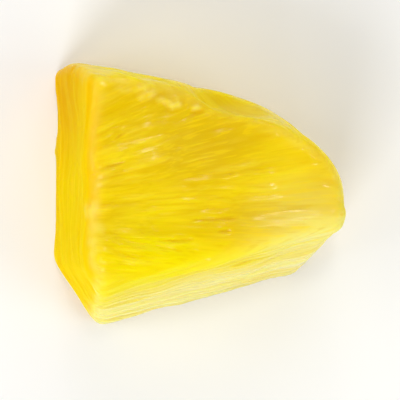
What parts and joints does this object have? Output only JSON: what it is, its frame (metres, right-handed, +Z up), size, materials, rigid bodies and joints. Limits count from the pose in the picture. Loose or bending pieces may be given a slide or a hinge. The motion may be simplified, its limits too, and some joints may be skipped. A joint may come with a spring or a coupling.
{
  "type": "pineapple chunk",
  "caption": "Peeled and cored pineapple chunk: a rounded wedge of wet yellow flesh with flat knife cuts, a curved rind side and trimmed eye hollows.",
  "frame": {"origin": "middle of the bounding box, on the flat base that the chunk rests on", "axes": "+Z up, out of the wide cut face that the picture looks down on; +X from the core side to the rind side, the longest extent; +Y towards the end of the fruit that had the leaves"},
  "size_m": [0.0406, 0.038, 0.026],
  "materials": {
    "flesh": "wet, translucent, fibrous"
  },
  "bodies": {
    "root": {"pineapple_chunk": "flesh"}
  },
  "joints": []
}
